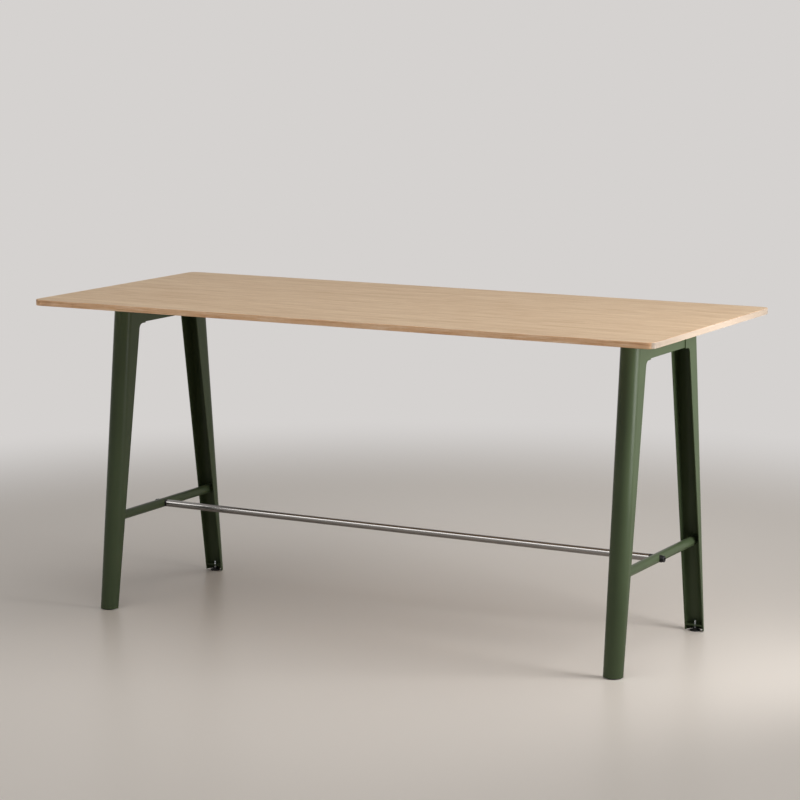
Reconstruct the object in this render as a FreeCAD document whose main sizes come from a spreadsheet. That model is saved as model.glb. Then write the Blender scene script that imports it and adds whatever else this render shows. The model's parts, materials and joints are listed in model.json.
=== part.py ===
import FreeCAD
import Part
import Sketcher

import math
import os
import re

# High table: a veneered top on two A-shaped end frames of folded steel, with a footrest tube between them.
# Millimetres. The origin is on the floor under the middle of the top, +Z is up, +X runs along the top and
# -Y is the front. Every size below is a cell of the document's sheet, under the same word.
SIZES = {
    # table top
    "top_length": 2300,
    "top_width": 1000,
    "table_height": 1095,
    "top_thickness": 20,
    "corner_radius": 30,
    "edge_band": 2,
    "edge_round": 1.4,
    "veneer": 0.6,
    "glue_line": 0.05,
    # folded legs: the half round's axis leans outwards towards the floor, and is set in from the top's edge
    "frame_inset": 190,
    "leg_width": 67,
    "leg_sheet": 3,
    "leg_inset_top": 278,
    "leg_inset_floor": 164,
    "flange_top": 56,
    "flange_floor": 0.5,
    "leg_floor_gap": 3,
    "arm_length": 35.5,
    "arm_height": 86,
    "arm_fillet": 20,
    "weld_gap": 0.15,
    # cross rails
    "rail_height": 83,
    "rail_sheet": 3,
    "rail_bend_inside": 1,
    "rail_lap": 24,
    "rail_fit": 0.1,
    "tongue_width": 44,
    "tongue_margin": 6,
    # screws that hold the rails to the top
    "fixing_margin": 26,
    "fixing_inner": 60,
    "screw_radius": 3,
    "screw_clearance": 0.3,
    "screw_head_radius": 5.25,
    "screw_head_height": 3.3,
    "screw_key": 4,
    "screw_key_depth": 2,
    "screw_tip_gap": 2,
    "screw_fit": 0.05,
    "washer_radius": 7,
    "washer_thickness": 1.6,
    "insert_radius": 5,
    "insert_length": 12,
    "insert_fit": 0.05,
    # rungs
    "rung_height": 317,
    "rung_radius": 16,
    "rung_wall": 2,
    # footrest tube and its fixings
    "tube_radius": 12.5,
    "tube_wall": 1.5,
    "plug_length": 30,
    "plug_fit": 0.05,
    "spacer_crest": 7,
    "saddle_gap": 0.15,
    "saddle_wrap": 4.5,
    "saddle_washer_radius": 12,
    "saddle_washer_crest": 4,
    "bolt_radius": 4,
    "bolt_clearance": 0.3,
    "bolt_fit": 0.05,
    "bolt_reach": 22,
    "bolt_head_radius": 10.5,
    "bolt_head_height": 9,
    "bolt_head_round": 1,
    "bolt_key": 8,
    "bolt_key_depth": 5,
    # levelling feet
    "stem_offset": 9,
    "stem_radius": 4,
    "stem_spare": 13,
    "stem_fit": 0.05,
    "stem_chamfer": 0.8,
    "stem_key": 4,
    "stem_key_depth": 4,
    "plate_height": 19,
    "plate_thickness": 4,
    "pad_clearance": 3.5,
    "pad_height": 11,
    "pad_rim": 4,
    "pad_hub_radius": 8,
    "pad_socket_depth": 6,
    "pad_round": 1,
    # how far a cutting shape runs past what it cuts
    "overrun": 5,
}

# Places that several pieces share, as formulas of the sheet's words.
UNDERSIDE = "(table_height - top_thickness)"
FRAME_X = "(top_length / 2 - frame_inset)"
LEG_RADIUS = "(leg_width / 2)"
LEG_BORE = "(leg_width / 2 - leg_sheet)"
AXIS_TOP = "(top_width / 2 - leg_inset_top)"
AXIS_FLOOR = "(top_width / 2 - leg_inset_floor)"
LEG_SLOPE = f"(({AXIS_FLOOR} - {AXIS_TOP}) / {UNDERSIDE})"
EDGE_TOP = f"({AXIS_TOP} - flange_top)"
EDGE_FLOOR = f"({AXIS_FLOOR} - flange_floor)"
EDGE_SLOPE = f"(({EDGE_FLOOR} - {EDGE_TOP}) / {UNDERSIDE})"
ARM_BOTTOM = f"({UNDERSIDE} - arm_height)"
ARM_END = f"({EDGE_FLOOR} - {EDGE_SLOPE} * {ARM_BOTTOM} - arm_length)"
RAIL_HALF = f"({LEG_BORE} - rail_fit)"
WEB_BOTTOM = f"({UNDERSIDE} - rail_sheet)"
TONGUE_END = f"({AXIS_TOP} - tongue_margin)"
FIXING_REACHES = [f"({TONGUE_END} - fixing_margin)", "fixing_inner"]
SCREW_HOLE = "(screw_radius + screw_clearance)"
BOLT_HOLE = "(bolt_radius + bolt_clearance)"
TUBE_END = f"({FRAME_X} - rung_radius - spacer_crest)"
STEM_Y = f"({AXIS_FLOOR} + stem_offset)"
LEAN_START = "(-2 * leg_width)"
LEAN_LENGTH = f"({UNDERSIDE} + 4 * leg_width)"
BEARING_X = f"({FRAME_X} + rung_radius + saddle_washer_crest)"
HEAD_BOTTOM = f"({WEB_BOTTOM} - washer_thickness - screw_head_height)"
PLATE_TOP = "(plate_height + plate_thickness)"
STEM_TOP = f"({PLATE_TOP} + stem_spare)"
SOCKET_FLOOR = "(pad_height - pad_socket_depth)"
PAD_RADIUS = f"({LEG_BORE} - stem_offset - pad_clearance)"

SIDES = {"left": -1, "right": 1}
ENDS = {"front": -1, "back": 1}

doc = FreeCAD.newDocument("high_table")
sheet = doc.addObject("Spreadsheet::Sheet", "sizes")
for row, (alias, value) in enumerate(SIZES.items(), start=1):
    sheet.set(f"A{row}", alias)
    sheet.set(f"B{row}", str(value))
    sheet.setAlias(f"B{row}", alias)
doc.recompute()

NODES = {}


def in_sheet(formula):
    """The formula with each of the sheet's words written as a reference to its cell."""
    return re.sub(r"[a-z_]+", lambda word: f"sizes.{word.group()}" if word.group() in SIZES else word.group(),
                  formula)


def bind(thing, **formulas):
    """Drive properties of an object by formulas, with __ standing for the dot in a property's path."""
    for path, formula in formulas.items():
        thing.setExpression(path.replace("__", "."), in_sheet(formula))


def place(thing, x="0", y="0", z="0", axis=None, angle="0"):
    """Give an object its Placement, turned about one axis and then moved."""
    if axis is not None:
        thing.Placement.Rotation.Axis = FreeCAD.Vector(*axis)
        bind(thing, Placement__Rotation__Angle=angle)
    bind(thing, Placement__Base__x=x, Placement__Base__y=y, Placement__Base__z=z)
    return thing


def node(label, thing):
    """Name an object as one sub-part of the table."""
    thing.Label = label
    NODES[label] = thing
    return thing


def box(name, x_size, y_size, z_size, **where):
    """A block with its lowest corner at its Placement."""
    block = doc.addObject("Part::Box", name)
    bind(block, Length=x_size, Width=y_size, Height=z_size)
    return place(block, **where)


def cylinder(name, radius, height, **where):
    round_bar = doc.addObject("Part::Cylinder", name)
    bind(round_bar, Radius=radius, Height=height)
    return place(round_bar, **where)


def boolean(kind, name, base, tool):
    """Part::Cut, Part::Fuse or Part::Common of two objects."""
    result = doc.addObject(f"Part::{kind}", name)
    result.Base = base
    result.Tool = tool
    return result


def new_body(name):
    return doc.addObject("PartDesign::Body", name)


def new_sketch(body, plane, height="0"):
    """A sketch on one of the body's own origin planes, lifted along the plane's normal."""
    sketch = body.newObject("Sketcher::SketchObject", body.Name + "_sketch")
    sketch.AttachmentSupport = [(next(p for p in body.Origin.OriginFeatures if p.Role == plane), "")]
    sketch.MapMode = "FlatFace"
    bind(sketch, AttachmentOffset__Base__z=height)
    return sketch


def drive(sketch, constraint, formula):
    number = sketch.addConstraint(constraint)
    bind(sketch, **{f"Constraints[{number}]": formula})


def polygon(sketch, corners):
    """A closed outline of straight lines, each corner driven by two formulas."""
    count = len(corners)
    turns = [2 * math.pi * k / count for k in range(count)]
    start = [FreeCAD.Vector(math.cos(turn), math.sin(turn), 0) for turn in turns]
    first = sketch.GeometryCount
    for k in range(count):
        sketch.addGeometry(Part.LineSegment(start[k], start[(k + 1) % count]))
    for k in range(count):
        sketch.addConstraint(Sketcher.Constraint("Coincident", first + k, 2, first + (k + 1) % count, 1))
    for k, (across, up) in enumerate(corners):
        drive(sketch, Sketcher.Constraint("DistanceX", -1, 1, first + k, 1, start[k].x), across)
        drive(sketch, Sketcher.Constraint("DistanceY", -1, 1, first + k, 1, start[k].y), up)
    return sketch


def circles(sketch, centres, *radii):
    """Circles of each radius round each centre."""
    for across, up in centres:
        for radius in radii:
            ring = sketch.addGeometry(Part.Circle(FreeCAD.Vector(1, 1, 0), FreeCAD.Vector(0, 0, 1), 1))
            drive(sketch, Sketcher.Constraint("DistanceX", -1, 1, ring, 3, 1), across)
            drive(sketch, Sketcher.Constraint("DistanceY", -1, 1, ring, 3, 1), up)
            drive(sketch, Sketcher.Constraint("Radius", ring, 1), radius)
    return sketch


def hexagons(sketch, centres, key):
    """Hexagons of one key size round each centre."""
    corner = f"{key} / sqrt(3)"
    for across, up in centres:
        polygon(sketch, [(f"{across} + {corner} * cos({turn})", f"{up} + {corner} * sin({turn})")
                         for turn in range(0, 360, 60)])
    return sketch


def pad(body, sketch, length, side="One side"):
    feature = body.newObject("PartDesign::Pad", body.Name + "_pad")
    feature.Profile = sketch
    feature.SideType = side
    bind(feature, Length=length)
    doc.recompute()
    return feature


def pocket(body, sketch, length, upwards=False):
    """Cut a sketch's outlines out of the body, and make sure that they cut."""
    before = body.Shape.Volume
    feature = body.newObject("PartDesign::Pocket", body.Name + "_pocket")
    feature.Profile = sketch
    feature.Reversed = upwards
    bind(feature, Length=length)
    doc.recompute()
    if body.Shape.Volume >= before:
        raise RuntimeError(f"{body.Name}: a pocket cuts nothing")
    return feature


def revolve(body, corners):
    """Turn an outline of radius and height formulas about the body's own upright axis."""
    sketch = polygon(new_sketch(body, "XZ_Plane"), corners)
    feature = body.newObject("PartDesign::Revolution", body.Name + "_turned")
    feature.Profile = sketch
    feature.ReferenceAxis = (sketch, ["V_Axis"])
    doc.recompute()
    return feature


def edges_where(feature, test):
    """The names of a feature's edges whose middle passes a test."""
    middles = [edge.valueAt((edge.FirstParameter + edge.LastParameter) / 2) for edge in feature.Shape.Edges]
    return [f"Edge{k}" for k, middle in enumerate(middles, start=1) if test(middle)]


def fillet(body, feature, edges, radius):
    rounding = body.newObject("PartDesign::Fillet", body.Name + "_fillet")
    rounding.Base = (feature, edges)
    bind(rounding, Radius=radius)
    doc.recompute()
    return rounding


# The top: a core between two veneers, with a solid edge band bent round it.


def panel(name, margin, bottom, thickness):
    """A flat board with the top's outline, smaller by a margin all round."""
    body = new_body(name)
    half_x = f"(top_length / 2 - {margin})"
    half_y = f"(top_width / 2 - {margin})"
    corners = [(f"-{half_x}", f"-{half_y}"), (half_x, f"-{half_y}"), (half_x, half_y), (f"-{half_x}", half_y)]
    board = pad(body, polygon(new_sketch(body, "XY_Plane", bottom), corners), thickness)
    extent = board.Shape.BoundBox
    near = extent.ZLength / 4
    upright = edges_where(board, lambda p: extent.ZMin + near < p.z < extent.ZMax - near)
    fillet(body, board, upright, f"corner_radius - {margin}")
    return body


def fixing_centres(frame_x):
    """Where the screws of one end frame stand."""
    return [(frame_x, f"{end} * {reach}") for reach in FIXING_REACHES for end in ENDS.values()]


def top():
    inner = "(edge_band + glue_line)"
    centres = fixing_centres(f"-{FRAME_X}") + fixing_centres(FRAME_X)
    hole = "insert_radius + insert_fit"

    core = panel("top_core_board", inner, f"{UNDERSIDE} + veneer", "top_thickness - 2 * veneer")
    pocket(core, circles(new_sketch(core, "XY_Plane", f"{UNDERSIDE} + veneer"), centres, hole),
           "insert_length - veneer", upwards=True)
    node("top_core", core)

    node("top_veneer", panel("top_veneer_sheet", inner, "table_height - veneer", "veneer"))

    backing = panel("bottom_veneer_sheet", inner, UNDERSIDE, "veneer")
    pocket(backing, circles(new_sketch(backing, "XY_Plane", UNDERSIDE), centres, hole), "veneer",
           upwards=True)
    node("bottom_veneer", backing)

    band = panel("edge_band_outside", "0", UNDERSIDE, "top_thickness")
    extent = band.Shape.BoundBox
    near = extent.ZLength / 4
    rims = edges_where(band, lambda p: p.z < extent.ZMin + near or p.z > extent.ZMax - near)
    fillet(band, band.Tip, rims, "edge_round")
    hollow = panel("edge_band_inside", "edge_band", f"{UNDERSIDE} - overrun", "top_thickness + 2 * overrun")
    node("edge_band", boolean("Cut", "edge_band_loop", band, hollow))


# End frames: two folded legs, a cross rail and a rung, welded together.


def leg_axis_at(height):
    """How far from the middle the half round's axis lies at a height above the floor."""
    return f"({AXIS_FLOOR} - {LEG_SLOPE} * ({height}))"


def flange_edge_at(height):
    """How far from the middle the flanges' inner edge lies at a height above the floor."""
    return f"({EDGE_FLOOR} - {EDGE_SLOPE} * ({height}))"


def lean(thing, end=1):
    """Stand an upright object along the leaning axis of a back leg, or of a front leg."""
    return place(thing, y=f"{end} * {leg_axis_at(LEAN_START)}", z=LEAN_START, axis=(1, 0, 0),
                 angle=f"{end} * atan({LEG_SLOPE})")


def stand(thing, side, end):
    """Put a piece that was made for a back leg at the middle of the table's length into its own leg."""
    return place(thing, x=f"{SIDES[side]} * {FRAME_X}", axis=(0, 0, 1), angle="0" if end == "back" else "180")


def leg(side, end):
    """A sheet folded round a half round, cut to a tapering outline with an arm at its head."""
    name = f"leg_{end}_{side}"
    outline = new_body(name + "_outline")
    outside = f"({AXIS_FLOOR} + leg_width)"
    corners = [(ARM_END, UNDERSIDE), (outside, UNDERSIDE), (outside, "leg_floor_gap"),
               (flange_edge_at("leg_floor_gap"), "leg_floor_gap"), (flange_edge_at(ARM_BOTTOM), ARM_BOTTOM),
               (ARM_END, ARM_BOTTOM)]
    blank = pad(outline, polygon(new_sketch(outline, "YZ_Plane"), corners), "leg_width + overrun",
                "Symmetric")
    extent = blank.Shape.BoundBox
    near = SIZES["leg_sheet"]
    crotch = edges_where(blank, lambda p: abs(p.x) < near and extent.ZMin + near < p.z < extent.ZMax - near
                         and p.y > extent.YMin + near)
    fillet(outline, blank, crotch, "arm_fillet")

    reach = f"({AXIS_TOP} - {ARM_END} + leg_width)"
    solid = boolean("Fuse", name + "_outside", cylinder(name + "_round", LEG_RADIUS, LEAN_LENGTH),
                    box(name + "_flanges", "leg_width", reach, LEAN_LENGTH, x=f"-{LEG_RADIUS}",
                        y=f"-{reach}"))
    longer = f"{LEAN_LENGTH} + 2 * overrun"
    bore = boolean("Fuse", name + "_inside", cylinder(name + "_bore", LEG_BORE, longer, z="-overrun"),
                   box(name + "_channel", f"2 * {LEG_BORE}", f"{reach} + overrun", longer, x=f"-{LEG_BORE}",
                       y=f"-({reach} + overrun)", z="-overrun"))
    fold = lean(boolean("Cut", name + "_fold", solid, bore))
    node(name, stand(boolean("Common", name + "_steel", fold, outline), side, end))


def rail(side):
    """An upturned channel between the arms, with a tongue at each end that runs into the leg's head."""
    body = new_body(f"rail_{side}_channel")
    low = f"({UNDERSIDE} - rail_height)"
    inside = f"({RAIL_HALF} - rail_sheet)"
    corners = [(f"-{RAIL_HALF}", low), (f"-{RAIL_HALF}", UNDERSIDE), (RAIL_HALF, UNDERSIDE), (RAIL_HALF, low),
               (inside, low), (inside, WEB_BOTTOM), (f"-{inside}", WEB_BOTTOM), (f"-{inside}", low)]
    channel = pad(body, polygon(new_sketch(body, "XZ_Plane"), corners), f"2 * ({ARM_END} + rail_lap)",
                  "Symmetric")
    extent = channel.Shape.BoundBox
    near = SIZES["rail_sheet"] / 4
    inner_bends = edges_where(channel, lambda p: abs(p.y) < near and abs(p.x) < extent.XMax - near
                              and extent.ZMin + near < p.z < extent.ZMax - near)
    channel = fillet(body, channel, inner_bends, "rail_bend_inside")
    outer_bends = edges_where(channel, lambda p: abs(p.y) < near and p.z > extent.ZMax - near)
    fillet(body, channel, outer_bends, "rail_bend_inside + rail_sheet")

    wide = "(tongue_width / 2)"
    tongue = [(f"-{wide}", f"-{TONGUE_END}"), (wide, f"-{TONGUE_END}"), (wide, TONGUE_END),
              (f"-{wide}", TONGUE_END)]
    pad(body, polygon(new_sketch(body, "XY_Plane", WEB_BOTTOM), tongue), "rail_sheet")
    pocket(body, circles(new_sketch(body, "XY_Plane", UNDERSIDE), fixing_centres("0"), SCREW_HOLE),
           "rail_sheet")
    node(f"rail_{side}", place(body, x=f"{SIDES[side]} * {FRAME_X}"))


def rung(side):
    """A tube across the frame, its ends coped to the hollows of the two legs, drilled for the footrest."""
    name = f"rung_{side}"
    half = f"({AXIS_FLOOR} + leg_width)"
    along = dict(y=f"-{half}", z="rung_height", axis=(1, 0, 0), angle="-90")
    tube = boolean("Cut", name + "_tube", cylinder(name + "_outside", "rung_radius", f"2 * {half}", **along),
                   cylinder(name + "_inside", "rung_radius - rung_wall", f"2 * {half}", **along))
    cope = f"({LEG_BORE} - weld_gap)"
    reach = leg_axis_at("rung_height + rung_radius")
    room = box(name + "_room", f"2 * {cope}", f"2 * {reach}", "rung_height + rung_radius + overrun",
               x=f"-{cope}", y=f"-{reach}")
    for end, sign in ENDS.items():
        hollow = lean(cylinder(f"{name}_cope_{end}", cope, LEAN_LENGTH), sign)
        room = boolean("Fuse", f"{name}_room_{end}", room, hollow)
    coped = boolean("Common", name + "_coped", tube, room)
    drill = cylinder(name + "_drill", BOLT_HOLE, "2 * (rung_radius + overrun)", x="-(rung_radius + overrun)",
                     z="rung_height", axis=(0, 1, 0), angle="90")
    node(name, place(boolean("Cut", name + "_drilled", coped, drill), x=f"{SIDES[side]} * {FRAME_X}"))


def top_fixings(side):
    """Threaded inserts in the top, and the screws and washers that clamp a rail to them."""
    at_frame = dict(x=f"{SIDES[side]} * {FRAME_X}")
    centres = fixing_centres("0")

    inserts = new_body(f"top_inserts_{side}_group")
    pad(inserts, circles(new_sketch(inserts, "XY_Plane", UNDERSIDE), centres, "insert_radius",
                         "screw_radius + screw_fit"), "insert_length")
    node(f"top_inserts_{side}", place(inserts, **at_frame))

    washers = new_body(f"top_washers_{side}_group")
    pad(washers, circles(new_sketch(washers, "XY_Plane", f"{WEB_BOTTOM} - washer_thickness"), centres,
                         "washer_radius", SCREW_HOLE), "washer_thickness")
    node(f"top_washers_{side}", place(washers, **at_frame))

    screws = new_body(f"top_screws_{side}_group")
    pad(screws, circles(new_sketch(screws, "XY_Plane", HEAD_BOTTOM), centres, "screw_head_radius"),
        "screw_head_height")
    pad(screws, circles(new_sketch(screws, "XY_Plane", f"{HEAD_BOTTOM} + screw_head_height"), centres,
                        "screw_radius"), "washer_thickness + rail_sheet + insert_length - screw_tip_gap")
    pocket(screws, hexagons(new_sketch(screws, "XY_Plane", HEAD_BOTTOM), centres, "screw_key"),
           "screw_key_depth", upwards=True)
    node(f"top_screws_{side}", place(screws, **at_frame))


# Footrest: a tube between the rungs, pulled up at each end by a long screw into a threaded plug.


def along_x(name, radius, start, finish):
    """A round bar at the footrest's height from one x to another."""
    return cylinder(name, radius, f"({finish}) - ({start})", x=start, z="rung_height", axis=(0, 1, 0),
                    angle="90")


def footrest_tube():
    outside = along_x("footrest_outside", "tube_radius", f"-{TUBE_END}", TUBE_END)
    inside = along_x("footrest_inside", "tube_radius - tube_wall", f"-{TUBE_END}", TUBE_END)
    node("footrest_tube", boolean("Cut", "footrest_bored", outside, inside))


def saddle(name, radius, start, finish):
    """A round piece with a hollow that sits on the rung, bored for the long screw."""
    rung_bar = cylinder(name + "_rung", "rung_radius + saddle_gap", "4 * rung_radius", x=FRAME_X,
                        y="-2 * rung_radius", z="rung_height", axis=(1, 0, 0), angle="-90")
    seated = boolean("Cut", name + "_seated", along_x(name + "_blank", radius, start, finish), rung_bar)
    bore = along_x(name + "_bore", BOLT_HOLE, f"{start} - overrun", f"{finish} + overrun")
    return boolean("Cut", name + "_bored", seated, bore)


def footrest_end(side):
    """Plug, spacer, washer and screw of one end, made for the right-hand end and turned for the left."""
    half_turn = dict(axis=(0, 0, 1), angle="0" if side == "right" else "180")

    plug_start = f"{TUBE_END} - plug_length"
    blank = along_x(f"plug_{side}_blank", "tube_radius - tube_wall - plug_fit", plug_start, TUBE_END)
    tap = along_x(f"plug_{side}_tap", "bolt_radius + bolt_fit", f"{plug_start} - overrun",
                  f"{TUBE_END} + overrun")
    node(f"footrest_plug_{side}", place(boolean("Cut", f"plug_{side}_tapped", blank, tap), **half_turn))

    inner_rim = f"{FRAME_X} - rung_radius + saddle_wrap"
    outer_rim = f"{FRAME_X} + rung_radius - saddle_wrap"
    spacer = saddle(f"spacer_{side}", "tube_radius", TUBE_END, inner_rim)
    node(f"footrest_spacer_{side}", place(spacer, **half_turn))
    washer = saddle(f"saddle_washer_{side}", "saddle_washer_radius", outer_rim, BEARING_X)
    node(f"footrest_washer_{side}", place(washer, **half_turn))

    bolt = new_body(f"footrest_bolt_{side}_body")
    tip = "-(2 * rung_radius + spacer_crest + saddle_washer_crest + bolt_reach)"
    revolve(bolt, [("0", tip), ("bolt_radius", tip), ("bolt_radius", "0"), ("bolt_head_radius", "0"),
                   ("bolt_head_radius", "bolt_head_height - bolt_head_round"),
                   ("bolt_head_radius - bolt_head_round", "bolt_head_height"), ("0", "bolt_head_height")])
    pocket(bolt, hexagons(new_sketch(bolt, "XY_Plane", "bolt_head_height"), [("0", "0")], "bolt_key"),
           "bolt_key_depth")
    sign = SIDES[side]
    node(f"footrest_bolt_{side}", place(bolt, x=f"{sign} * {BEARING_X}", z="rung_height", axis=(0, 1, 0),
                                        angle=f"{sign} * 90"))


# Levelling feet: a plate in each leg's foot, a threaded stem through it and a pad that the stem turns in.


def levelling_foot(side, end):
    name = f"{end}_{side}"
    hollow = lean(cylinder(f"plate_{name}_hollow", f"{LEG_BORE} - weld_gap", LEAN_LENGTH))
    slab = box(f"plate_{name}_slab", "leg_width", "leg_width", "plate_thickness", x=f"-{LEG_RADIUS}",
               y=leg_axis_at(PLATE_TOP), z="plate_height")
    tap = cylinder(f"plate_{name}_tap", "stem_radius + stem_fit", "plate_thickness + 2 * overrun", y=STEM_Y,
                   z="plate_height - overrun")
    half_round = boolean("Common", f"plate_{name}_blank", slab, hollow)
    node(f"foot_plate_{name}", stand(boolean("Cut", f"plate_{name}_tapped", half_round, tap), side, end))

    where = dict(x=f"{SIDES[side]} * {FRAME_X}", y=f"{ENDS[end]} * {STEM_Y}")
    stem = new_body(f"stem_{name}_body")
    revolve(stem, [("0", SOCKET_FLOOR), ("stem_radius", SOCKET_FLOOR),
                   ("stem_radius", f"{STEM_TOP} - stem_chamfer"), ("stem_radius - stem_chamfer", STEM_TOP),
                   ("0", STEM_TOP)])
    pocket(stem, hexagons(new_sketch(stem, "XY_Plane", STEM_TOP), [("0", "0")], "stem_key"), "stem_key_depth")
    node(f"leveller_stem_{name}", place(stem, **where))

    foot = new_body(f"pad_{name}_body")
    socket = "(stem_radius + stem_fit)"
    revolve(foot, [("0", "0"), (f"{PAD_RADIUS} - pad_round", "0"), (PAD_RADIUS, "pad_round"),
                   (PAD_RADIUS, "pad_rim"), ("pad_hub_radius", "pad_rim + pad_round"),
                   ("pad_hub_radius", "pad_height"), (socket, "pad_height"), (socket, SOCKET_FLOOR),
                   ("0", SOCKET_FLOOR)])
    node(f"leveller_pad_{name}", place(foot, **where))


def write_parts():
    """Stop on any failed object or bad shape, then write each sub-part to its own file."""
    doc.recompute()
    for thing in doc.Objects:
        if {"Invalid", "Error"} & set(thing.State):
            raise RuntimeError(f"{thing.Label} failed: {thing.State}")
    for label, thing in NODES.items():
        if thing.Shape.isNull() or not thing.Shape.isValid() or not thing.Shape.Solids:
            raise RuntimeError(f"{label} has no valid solid")
    os.makedirs("parts", exist_ok=True)
    for label, thing in NODES.items():
        thing.Shape.exportStep(f"parts/{label}.step")
        print(f"{label}: {len(thing.Shape.Solids)} solid(s), {thing.Shape.Volume / 1000:.1f} cm3")


top()
footrest_tube()
for side in SIDES:
    rail(side)
    rung(side)
    top_fixings(side)
    footrest_end(side)
    for end in ENDS:
        leg(side, end)
        levelling_foot(side, end)
write_parts()
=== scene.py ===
import json
import math

import bmesh
import bpy
from mathutils import Euler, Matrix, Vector

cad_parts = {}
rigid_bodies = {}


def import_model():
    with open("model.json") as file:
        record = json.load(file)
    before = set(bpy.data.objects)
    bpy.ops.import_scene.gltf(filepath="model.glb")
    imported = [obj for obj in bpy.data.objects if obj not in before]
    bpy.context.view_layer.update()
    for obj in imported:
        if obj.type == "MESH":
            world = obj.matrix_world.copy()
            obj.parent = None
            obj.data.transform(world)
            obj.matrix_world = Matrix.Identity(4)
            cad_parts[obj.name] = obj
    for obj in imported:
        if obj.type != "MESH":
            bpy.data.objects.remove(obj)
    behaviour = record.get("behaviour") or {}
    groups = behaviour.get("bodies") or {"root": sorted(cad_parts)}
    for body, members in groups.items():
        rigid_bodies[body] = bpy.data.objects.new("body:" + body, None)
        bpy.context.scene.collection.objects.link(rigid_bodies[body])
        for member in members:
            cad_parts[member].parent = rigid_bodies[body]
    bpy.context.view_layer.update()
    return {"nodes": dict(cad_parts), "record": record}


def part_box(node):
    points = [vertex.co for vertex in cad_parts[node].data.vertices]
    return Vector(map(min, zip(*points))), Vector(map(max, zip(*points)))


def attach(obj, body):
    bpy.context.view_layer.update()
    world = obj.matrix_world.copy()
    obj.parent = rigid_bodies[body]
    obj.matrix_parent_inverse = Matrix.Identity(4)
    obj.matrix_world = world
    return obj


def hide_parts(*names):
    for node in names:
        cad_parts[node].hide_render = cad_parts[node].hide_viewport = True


# High table: a lacquered oak top on powder-coated folded legs, with a polished footrest tube.
# Metres, in the part's own frame: the floor is z = 0, +X runs along the top and -Y is the front.
for thing in list(bpy.data.objects):
    bpy.data.objects.remove(thing)
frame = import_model()
NODES = frame["nodes"]

MM = 0.001
SIDES = ("left", "right")
ENDS = ("front", "back")
FEET = [f"{end}_{side}" for side in SIDES for end in ENDS]


# Materials

# Most of a noise's values lie between these two, so a drift of tone or gloss is spread over them.
NOISE_LOW = 0.3
NOISE_HIGH = 0.7
# The Mix node's sockets for colours, which have the same names as its sockets for numbers.
MIX_FACTOR = 0
MIX_A = 6
MIX_B = 7
MIX_COLOUR = 2


def linear(colour):
    """A colour written as sRGB hex, as the linear RGBA that shaders take."""
    shares = [int(colour[k:k + 2], 16) / 255 for k in (1, 3, 5)]
    return [s / 12.92 if s <= 0.04045 else ((s + 0.055) / 1.055) ** 2.4 for s in shares] + [1.0]


def per_mm(*sizes):
    """The scale that gives a pattern's lumps these sizes in millimetres along x, y and z."""
    return [1 / (size * MM) for size in sizes]


def add(tree, kind, inputs=None, ramp=None, **settings):
    """A new node: its settings, its inputs as values or as sockets to link, and a colour ramp's stops."""
    node = tree.nodes.new(kind)
    for name, value in settings.items():
        setattr(node, name, value)
    for key, value in (inputs or {}).items():
        if isinstance(value, bpy.types.NodeSocket):
            tree.links.new(value, node.inputs[key])
        else:
            node.inputs[key].default_value = value
    if ramp:
        stops = node.color_ramp.elements
        while len(stops) < len(ramp):
            stops.new(1.0)
        for stop, (position, colour) in zip(stops, ramp):
            stop.position = position
            stop.color = linear(colour)
    return node


def new_material(name):
    """A material with an empty node tree."""
    material = bpy.data.materials.new(name)
    material.use_nodes = True
    material.node_tree.nodes.clear()
    return material, material.node_tree


def surface(tree, inputs):
    """The material's one shader, from its inputs, joined to the output."""
    shader = add(tree, "ShaderNodeBsdfPrincipled", inputs)
    add(tree, "ShaderNodeOutputMaterial", {"Surface": shader.outputs["BSDF"]})


# Layers of oak's figure: the lumps' size in millimetres, the noise's detail and its weight.
# Streaks and pores of oak are well under a millimetre wide. They are drawn wider here to show.
OAK_LAYERS = {
    "bands": ((500, 32, 32), 2.0, 0.24),
    "flecks": ((110, 14, 14), 2.0, 0.24),
    "streaks": ((170, 4.0, 4.0), 3.0, 0.32),
    "dashes": ((45, 1.8, 1.8), 2.0, 0.20),
}
OAK_WANDER = (700, 160, 160)
OAK_WANDER_REACH = 24 * MM
OAK_PORE = (14, 0.45, 0.45)
OAK_PORE_TINT = 0.35
OAK_RELIEF = 0.15 * MM


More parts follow.
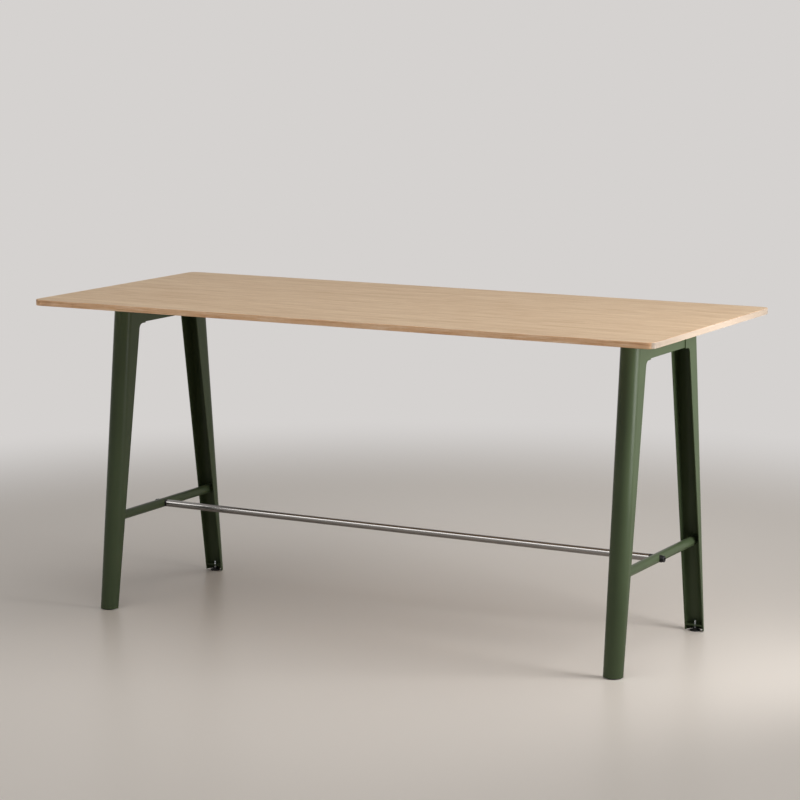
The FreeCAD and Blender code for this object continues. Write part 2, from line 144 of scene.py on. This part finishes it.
def oak(tree, place, ramp, pore_colour):
    """Oak grained along the place's x: its streaks wander a little, and its pores are left open."""
    sized = add(tree, "ShaderNodeVectorMath", {0: place, 1: per_mm(*OAK_WANDER)}, operation="MULTIPLY")
    wander = add(tree, "ShaderNodeTexNoise", {"Vector": sized.outputs[0], "Scale": 1.0, "Detail": 1.0})
    lines = add(tree, "ShaderNodeVectorMath",
                {0: wander.outputs["Color"], 1: (0, OAK_WANDER_REACH, 0), 2: place},
                operation="MULTIPLY_ADD").outputs[0]
    layers = {}
    figure = 0.0
    for name, (size, detail, weight) in OAK_LAYERS.items():
        sized = add(tree, "ShaderNodeVectorMath", {0: lines, 1: per_mm(*size)}, operation="MULTIPLY")
        noise = add(tree, "ShaderNodeTexNoise", {"Vector": sized.outputs[0], "Scale": 1.0, "Detail": detail})
        layers[name] = noise.outputs["Fac"]
        figure = add(tree, "ShaderNodeMath", {0: layers[name], 1: weight, 2: figure},
                     operation="MULTIPLY_ADD").outputs[0]
    wood = add(tree, "ShaderNodeValToRGB", {"Fac": figure}, ramp=ramp)
    sized = add(tree, "ShaderNodeVectorMath", {0: lines, 1: per_mm(*OAK_PORE)}, operation="MULTIPLY")
    pores = add(tree, "ShaderNodeTexNoise", {"Vector": sized.outputs[0], "Scale": 1.0, "Detail": 1.0})
    opened = add(tree, "ShaderNodeMapRange",
                 {"Value": pores.outputs["Fac"], "From Min": 0.60, "From Max": 0.70,
                  "To Min": 0.0, "To Max": OAK_PORE_TINT}, interpolation_type="SMOOTHSTEP")
    colour = add(tree, "ShaderNodeMix",
                 {MIX_FACTOR: opened.outputs["Result"], MIX_A: wood.outputs["Color"],
                  MIX_B: linear(pore_colour)}, data_type="RGBA")
    rough = add(tree, "ShaderNodeMapRange",
                {"Value": layers["streaks"], "From Min": NOISE_LOW, "From Max": NOISE_HIGH,
                 "To Min": 0.46, "To Max": 0.54})
    height = add(tree, "ShaderNodeMath", {0: layers["streaks"], 1: opened.outputs["Result"]},
                 operation="SUBTRACT")
    bump = add(tree, "ShaderNodeBump",
               {"Height": height.outputs[0], "Strength": 0.20, "Distance": OAK_RELIEF})
    # Open pores and a matt lacquer shade part of the gloss.
    return {"Base Color": colour.outputs[MIX_COLOUR], "Roughness": rough.outputs["Result"],
            "Normal": bump.outputs["Normal"], "IOR": 1.50, "Specular IOR Level": 0.3}


def lacquered_oak_veneer():
    """Sliced oak under matt lacquer: pale straw streaks along the top, a low sheen, pores left open."""
    material, tree = new_material("lacquered_oak_veneer")
    place = add(tree, "ShaderNodeTexCoord").outputs["Object"]
    ramp = [(0.40, "#BA9974"), (0.50, "#CBAD8A"), (0.60, "#D6BC9B")]
    surface(tree, oak(tree, place, ramp, "#8A6D4E"))
    return material


# How far the edge band's two ends are painted greyer: a painted sheen that stands in for the light washing
# over the lit end. The band is one oak strip all round.
END_SHEEN_SHARE = 0.85
END_SHEEN_COLOUR = "#A2978A"


def lacquered_oak_edge():
    """A thick oak strip bent round the top: browner than the face, with its grain along the edge. Its two
    ends carry a painted sheen.
    """
    material, tree = new_material("lacquered_oak_edge")
    coords = add(tree, "ShaderNodeTexCoord")
    facing = add(tree, "ShaderNodeSeparateXYZ", {"Vector": coords.outputs["Normal"]})
    across = add(tree, "ShaderNodeMath", {0: facing.outputs["X"]}, operation="ABSOLUTE")
    # The painted sheen on the ends fades in over the rounded corners.
    end_sheen_mask = add(tree, "ShaderNodeMapRange",
                 {"Value": across.outputs[0], "From Min": 0.60, "From Max": 0.80},
                 interpolation_type="SMOOTHSTEP").outputs["Result"]
    axes = add(tree, "ShaderNodeSeparateXYZ", {"Vector": coords.outputs["Object"]})
    half = add(tree, "ShaderNodeMath", {0: axes.outputs["X"]}, operation="ABSOLUTE")
    # The grain's run along the strip goes on round the corners without a jump.
    run = add(tree, "ShaderNodeMath", {0: half.outputs[0], 1: axes.outputs["Y"]}, operation="ADD")
    along = add(tree, "ShaderNodeCombineXYZ", {"X": run.outputs[0], "Y": axes.outputs["Z"]})
    ramp = [(0.40, "#B9865B"), (0.47, "#D9AC83"), (0.53, "#DEB690"), (0.60, "#EACBAA")]
    inputs = oak(tree, along.outputs["Vector"], ramp, "#7A5A3A")
    # Painted sheen: the colour at the two ends is mixed towards a grey that stands in for the light's wash.
    painted_end_sheen = add(tree, "ShaderNodeMix",
                    {MIX_FACTOR: END_SHEEN_SHARE, MIX_A: inputs["Base Color"],
                     MIX_B: linear(END_SHEEN_COLOUR)}, data_type="RGBA")
    colour = add(tree, "ShaderNodeMix",
                 {MIX_FACTOR: end_sheen_mask, MIX_A: inputs["Base Color"],
                  MIX_B: painted_end_sheen.outputs[MIX_COLOUR]}, data_type="RGBA")
    surface(tree, inputs | {"Base Color": colour.outputs[MIX_COLOUR]})
    return material


# Powder coat: its slow drift of tone and its orange peel in millimetres, then two lengths in metres.
COAT_DRIFT = (120, 120, 240)
COAT_PEEL = (1.2, 1.2, 1.2)
COAT_PEEL_DEPTH = 0.10 * MM
SHEET_EDGE_ROUNDING = 0.8 * MM


def green_powder_coat():
    """Polyester powder baked on steel: a satin green skin with a fine orange peel."""
    material, tree = new_material("green_powder_coat")
    place = add(tree, "ShaderNodeTexCoord").outputs["Object"]
    sized = add(tree, "ShaderNodeVectorMath", {0: place, 1: per_mm(*COAT_DRIFT)}, operation="MULTIPLY")
    drift = add(tree, "ShaderNodeTexNoise", {"Vector": sized.outputs[0], "Scale": 1.0, "Detail": 3.0})
    sized = add(tree, "ShaderNodeVectorMath", {0: place, 1: per_mm(*COAT_PEEL)}, operation="MULTIPLY")
    peel = add(tree, "ShaderNodeTexNoise", {"Vector": sized.outputs[0], "Scale": 1.0, "Detail": 1.0})
    tone = add(tree, "ShaderNodeValToRGB", {"Fac": drift.outputs["Fac"]},
               ramp=[(NOISE_LOW, "#434F37"), (NOISE_HIGH, "#49553C")])
    speck = add(tree, "ShaderNodeMapRange",
                {"Value": peel.outputs["Fac"], "From Min": 0.35, "From Max": 0.75,
                 "To Min": 0.0, "To Max": 0.10})
    colour = add(tree, "ShaderNodeMix",
                 {MIX_FACTOR: speck.outputs["Result"], MIX_A: tone.outputs["Color"],
                  MIX_B: linear("#58634A")}, data_type="RGBA")
    rough = add(tree, "ShaderNodeMapRange",
                {"Value": drift.outputs["Fac"], "From Min": NOISE_LOW, "From Max": NOISE_HIGH,
                 "To Min": 0.32, "To Max": 0.36})
    # Deburred sheet edges, rounded for the light only.
    edge = add(tree, "ShaderNodeBevel", {"Radius": SHEET_EDGE_ROUNDING}, samples=6)
    bump = add(tree, "ShaderNodeBump",
               {"Height": peel.outputs["Fac"], "Strength": 0.10, "Distance": COAT_PEEL_DEPTH,
                "Normal": edge.outputs["Normal"]})
    # A fine texture shades part of its own gloss.
    surface(tree, {"Base Color": colour.outputs[MIX_COLOUR], "Roughness": rough.outputs["Result"],
                   "Normal": bump.outputs["Normal"], "Specular IOR Level": 0.15})
    return material


MOTTLE_DEPTH = 0.05 * MM


def mottled(name, lumps, colours, roughness, relief, fixed):
    """A finish whose tone, roughness and height drift together over lumps of a real size in millimetres."""
    material, tree = new_material(name)
    place = add(tree, "ShaderNodeTexCoord").outputs["Object"]
    sized = add(tree, "ShaderNodeVectorMath", {0: place, 1: per_mm(*lumps)}, operation="MULTIPLY")
    drift = add(tree, "ShaderNodeTexNoise",
                {"Vector": sized.outputs[0], "Scale": 1.0, "Detail": 3.0}).outputs["Fac"]
    tone = add(tree, "ShaderNodeValToRGB", {"Fac": drift},
               ramp=[(NOISE_LOW, colours[0]), (NOISE_HIGH, colours[1])])
    rough = add(tree, "ShaderNodeMapRange",
                {"Value": drift, "From Min": NOISE_LOW, "From Max": NOISE_HIGH,
                 "To Min": roughness[0], "To Max": roughness[1]})
    bump = add(tree, "ShaderNodeBump", {"Height": drift, "Strength": relief, "Distance": MOTTLE_DEPTH})
    surface(tree, {"Base Color": tone.outputs["Color"], "Roughness": rough.outputs["Result"],
                   "Normal": bump.outputs["Normal"]} | fixed)
    return material


def polished_stainless():
    """Drawn stainless tube, belt-polished lengthwise: long soft streaks in a clean, darkish reflection."""
    return mottled("polished_stainless", lumps=(260, 1.1, 1.1), colours=("#817E7C", "#959390"),
                   roughness=(0.16, 0.24), relief=0.06, fixed={"Metallic": 1.0})


def bright_zinc():
    """Electroplated zinc on turned steel: a cool bright metal, faintly clouded."""
    return mottled("bright_zinc", lumps=(2.5, 2.5, 2.5), colours=("#AEB2B6", "#D4D6D6"),
                   roughness=(0.20, 0.32), relief=0.04, fixed={"Metallic": 1.0})


def black_moulded_plastic():
    """Injection-moulded nylon: matt black, with the fine grain of a spark-eroded tool."""
    return mottled("black_moulded_plastic", lumps=(0.5, 0.5, 0.5), colours=("#101010", "#191918"),
                   roughness=(0.52, 0.62), relief=0.20, fixed={"IOR": 1.53, "Specular IOR Level": 0.3})


def black_oxide_steel():
    """Blackened steel screws: a mineral film, near black, with an oily sheen on the turned faces."""
    return mottled("black_oxide_steel", lumps=(1.6, 1.6, 1.6), colours=("#111113", "#1C1C1F"),
                   roughness=(0.42, 0.54), relief=0.06, fixed={"Specular IOR Level": 0.3})


# Plywood: one ply's thickness in metres, and the fibres in millimetres, drawn wider than real ones to show.
PLY = 2.8 * MM
PLY_CHANGE = (1.2 * MM, 1.6 * MM)
PLY_FIBRE = (60, 1.5, 1.5)


def raw_plywood():
    """The core's bare board: thin birch plies, light and dark by turns."""
    material, tree = new_material("raw_plywood")
    place = add(tree, "ShaderNodeTexCoord").outputs["Object"]
    axes = add(tree, "ShaderNodeSeparateXYZ", {"Vector": place})
    ply = add(tree, "ShaderNodeMath", {0: axes.outputs["Z"], 1: PLY}, operation="PINGPONG")
    layer = add(tree, "ShaderNodeMapRange",
                {"Value": ply.outputs[0], "From Min": PLY_CHANGE[0], "From Max": PLY_CHANGE[1]})
    sized = add(tree, "ShaderNodeVectorMath", {0: place, 1: per_mm(*PLY_FIBRE)}, operation="MULTIPLY")
    fibre = add(tree, "ShaderNodeTexNoise", {"Vector": sized.outputs[0], "Scale": 1.0, "Detail": 3.0})
    tone = add(tree, "ShaderNodeValToRGB", {"Fac": layer.outputs["Result"]},
               ramp=[(0.0, "#C9A777"), (1.0, "#A98459")])
    dark = add(tree, "ShaderNodeMapRange",
               {"Value": fibre.outputs["Fac"], "From Min": 0.4, "From Max": 0.7,
                "To Min": 0.0, "To Max": 0.4})
    colour = add(tree, "ShaderNodeMix",
                 {MIX_FACTOR: dark.outputs["Result"], MIX_A: tone.outputs["Color"],
                  MIX_B: linear("#8C6A45")}, data_type="RGBA")
    surface(tree, {"Base Color": colour.outputs[MIX_COLOUR], "Roughness": 0.75})
    return material


FINISHES = {
    "oak_veneer": lacquered_oak_veneer(),
    "oak_edge": lacquered_oak_edge(),
    "core_board": raw_plywood(),
    "green_paint": green_powder_coat(),
    "stainless": polished_stainless(),
    "zinc_steel": bright_zinc(),
    "black_plastic": black_moulded_plastic(),
    "black_steel": black_oxide_steel(),
}
for row in frame["record"]["subparts"]:
    for slot in NODES[row["node"]].material_slots:
        slot.material = FINISHES[row["material_slot"]]


# Levelling stems: the CAD's plain rods, cut with the M8 thread that raises and lowers the pads

THREAD_PITCH = 1.25 * MM
THREAD_DEPTH = 0.70 * MM
# The share of a pitch that a crest takes, and a root as well.
THREAD_FLAT = 0.15
KEY_ACROSS_FLATS = 4.0 * MM
KEY_DEPTH = 4.0 * MM
STEM_CHAMFER = 0.8 * MM
TURN_STEPS = 24
PITCH_STEPS = 8
SHARP_ANGLE = math.radians(50)


def threaded_stem(foot):
    """A right-handed threaded rod with a hexagon socket in its top, in the place of the CAD's rod."""
    low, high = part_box(f"leveller_stem_{foot}")
    middle = (low + high) / 2
    crest = (high.x - low.x) / 2
    rows = round((high.z - low.z) / THREAD_PITCH * PITCH_STEPS)
    angles = [2 * math.pi * step / TURN_STEPS for step in range(TURN_STEPS)]
    shape = bmesh.new()

    def ring(radii, z):
        return [shape.verts.new((middle.x + r * math.cos(a), middle.y + r * math.sin(a), z))
                for r, a in zip(radii, angles)]

    rings = []
    for row in range(rows + 1):
        z = low.z + (high.z - low.z) * row / rows
        radii = []
        for angle in angles:
            turn = ((z - low.z) / THREAD_PITCH - angle / (2 * math.pi)) % 1.0
            flank = (abs(turn - 0.5) * 2 - THREAD_FLAT) / (1 - 2 * THREAD_FLAT)
            groove = min(max(flank, 0.0), 1.0)
            radii.append(min(crest - THREAD_DEPTH * groove, crest - STEM_CHAMFER + high.z - z))
        rings.append(ring(radii, z))
    across = [KEY_ACROSS_FLATS / 2 / math.cos(angle % (math.pi / 3) - math.pi / 6) for angle in angles]
    rings.append(ring(across, high.z))
    rings.append(ring(across, high.z - KEY_DEPTH))
    for lower, upper in zip(rings, rings[1:]):
        for k in range(TURN_STEPS):
            after = (k + 1) % TURN_STEPS
            shape.faces.new((lower[k], lower[after], upper[after], upper[k]))
    shape.faces.new(rings[-1])
    shape.faces.new(list(reversed(rings[0])))
    mesh = bpy.data.meshes.new(f"threaded_stem_{foot}")
    shape.to_mesh(mesh)
    shape.free()
    mesh.shade_smooth()
    mesh.set_sharp_from_angle(angle=SHARP_ANGLE)
    mesh.materials.append(FINISHES["zinc_steel"])
    stem = bpy.data.objects.new(f"threaded_stem_{foot}", mesh)
    bpy.context.scene.collection.objects.link(stem)
    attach(stem, f"stem_{foot}")
    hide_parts(f"leveller_stem_{foot}")


for foot in FEET:
    threaded_stem(foot)


# Floor, background and light

FLOOR_REACH = 60.0
FLOOR_SIDES = 96
# How far from the table's middle the floor begins to fade into the background, and where it has.
FLOOR_FADE = (2.2, 4.2)
# The floor lies a hair below the pads, so that the two faces aren't one.
FLOOR_HEIGHT = -0.2 * MM
BACKDROP = "#D5D2D0"
FILL_STRENGTH = 0.07


def looked_at(tree):
    """One where a surface is seen, in a mirror too, and nought where it only gives light."""
    path = add(tree, "ShaderNodeLightPath")
    seen = add(tree, "ShaderNodeMath",
               {0: path.outputs["Is Camera Ray"], 1: path.outputs["Is Glossy Ray"]}, operation="MAXIMUM")
    return add(tree, "ShaderNodeMath", {0: seen.outputs[0], 1: path.outputs["Is Transmission Ray"]},
               operation="MAXIMUM").outputs[0]


def polished_screed():
    """Ground and sealed cement screed: a plain warm pale grey with a soft reflection."""
    material, tree = new_material("polished_screed")
    place = add(tree, "ShaderNodeTexCoord").outputs["Object"]
    shader = add(tree, "ShaderNodeBsdfPrincipled",
                 {"Base Color": linear("#E3DBD2"), "Roughness": 0.36, "Specular IOR Level": 0.15})
    # A few steps from the table the floor fades into the plain background.
    away = add(tree, "ShaderNodeVectorMath", {0: place}, operation="LENGTH")
    fade = add(tree, "ShaderNodeMapRange",
               {"Value": away.outputs["Value"], "From Min": FLOOR_FADE[0], "From Max": FLOOR_FADE[1]},
               interpolation_type="SMOOTHSTEP")
    shown = add(tree, "ShaderNodeMath", {0: fade.outputs["Result"], 1: looked_at(tree)},
                operation="MULTIPLY")
    glow = add(tree, "ShaderNodeEmission", {"Color": linear(BACKDROP), "Strength": 1.0})
    upper = add(tree, "ShaderNodeMixShader",
                {0: shown.outputs[0], 1: shader.outputs["BSDF"], 2: glow.outputs["Emission"]})
    # From below, the floor is left out so that the underside can be looked at.
    below = add(tree, "ShaderNodeNewGeometry").outputs["Backfacing"]
    clear = add(tree, "ShaderNodeBsdfTransparent")
    both = add(tree, "ShaderNodeMixShader",
               {0: below, 1: upper.outputs["Shader"], 2: clear.outputs["BSDF"]})
    add(tree, "ShaderNodeOutputMaterial", {"Surface": both.outputs["Shader"]})
    return material


def floor():
    """A wide round floor under the table."""
    mesh = bpy.data.meshes.new("floor")
    shape = bmesh.new()
    bmesh.ops.create_circle(shape, cap_ends=True, segments=FLOOR_SIDES, radius=FLOOR_REACH)
    shape.to_mesh(mesh)
    shape.free()
    mesh.materials.append(polished_screed())
    plane = bpy.data.objects.new("floor", mesh)
    plane.location.z = FLOOR_HEIGHT
    bpy.context.scene.collection.objects.link(plane)


def background():
    """The plain backdrop's colour where it is looked at, and a weak even fill as light."""
    world = bpy.data.worlds.new("studio")
    bpy.context.scene.world = world
    world.use_nodes = True
    tree = world.node_tree
    tree.nodes.clear()
    fill = add(tree, "ShaderNodeBackground", {"Color": linear("#FFFFFF"), "Strength": FILL_STRENGTH})
    shown = add(tree, "ShaderNodeBackground", {"Color": linear(BACKDROP), "Strength": 1.0})
    both = add(tree, "ShaderNodeMixShader",
               {0: looked_at(tree), 1: fill.outputs[0], 2: shown.outputs[0]})
    add(tree, "ShaderNodeOutputWorld", {"Surface": both.outputs["Shader"]})


def softbox(name, place, target, size, watts, spread=180, lights=True, mirrored=True):
    """A white softbox at a place, turned to a target. It can be kept from lighting, or from reflections."""
    light = bpy.data.lights.new(name, "AREA")
    light.shape = "RECTANGLE"
    light.size = size[0]
    light.size_y = size[1]
    light.energy = watts
    light.spread = math.radians(spread)
    lamp = bpy.data.objects.new(name, light)
    lamp.location = place
    lamp.rotation_euler = (Vector(target) - Vector(place)).to_track_quat("-Z", "Y").to_euler()
    lamp.visible_camera = False
    lamp.visible_diffuse = lights
    lamp.visible_glossy = mirrored
    bpy.context.scene.collection.objects.link(lamp)


def studio_light():
    """A ceiling of light and a strip at the right end, with weak light on the back and on the front edge.
    A high card in front lights nothing and is there for glossy surfaces to mirror."""
    softbox("ceiling", place=(1.2, -0.60, 5.0), target=(0.7, -0.30, 0.8), size=(8.0, 5.5), watts=216)
    softbox("right_strip", place=(2.15, 0.03, 1.10), target=(0.95, 0.0, 0.95), size=(0.75, 1.2), watts=13.4,
            spread=120)
    softbox("back_fill", place=(0, 3.6, 1.4), target=(0, 0, 0.3), size=(6.0, 2.4), watts=12, mirrored=False)
    softbox("front_edge_strip", place=(0, -3.2, 1.35), target=(0, -0.5, 1.40), size=(4.0, 0.15), watts=2.5,
            spread=24, mirrored=False)
    softbox("front_card", place=(-1.3, -3.8, 4.0), target=(-1.3, 0, 0.32), size=(9.0, 2.4), watts=215,
            lights=False)


# Camera at the photograph's place: a long lens, to the right of the table and above it

CAMERA_PLACE = (4.1477, -7.6045, 2.1501)
# Degrees to the left of +Y, and down from level.
CAMERA_TURN = 28.539
CAMERA_TILT = 7.315
CAMERA_LENS = 115.96
SENSOR_WIDTH = 36.0
# The photograph's own shift is larger. The other views keep the shift, so it is only part of that.
CAMERA_SHIFT = -0.10
CAMERA_REACH = 200.0


def camera():
    """The photograph's viewpoint and framing."""
    lens = bpy.data.cameras.new("camera")
    lens.lens = CAMERA_LENS
    lens.sensor_width = SENSOR_WIDTH
    lens.shift_y = CAMERA_SHIFT
    lens.clip_end = CAMERA_REACH
    eye = bpy.data.objects.new("camera", lens)
    eye.location = CAMERA_PLACE
    eye.rotation_euler = Euler((math.radians(90 - CAMERA_TILT), 0, math.radians(CAMERA_TURN)))
    bpy.context.scene.collection.objects.link(eye)
    bpy.context.scene.camera = eye


floor()
background()
studio_light()
camera()
bpy.context.scene.view_settings.view_transform = "Standard"
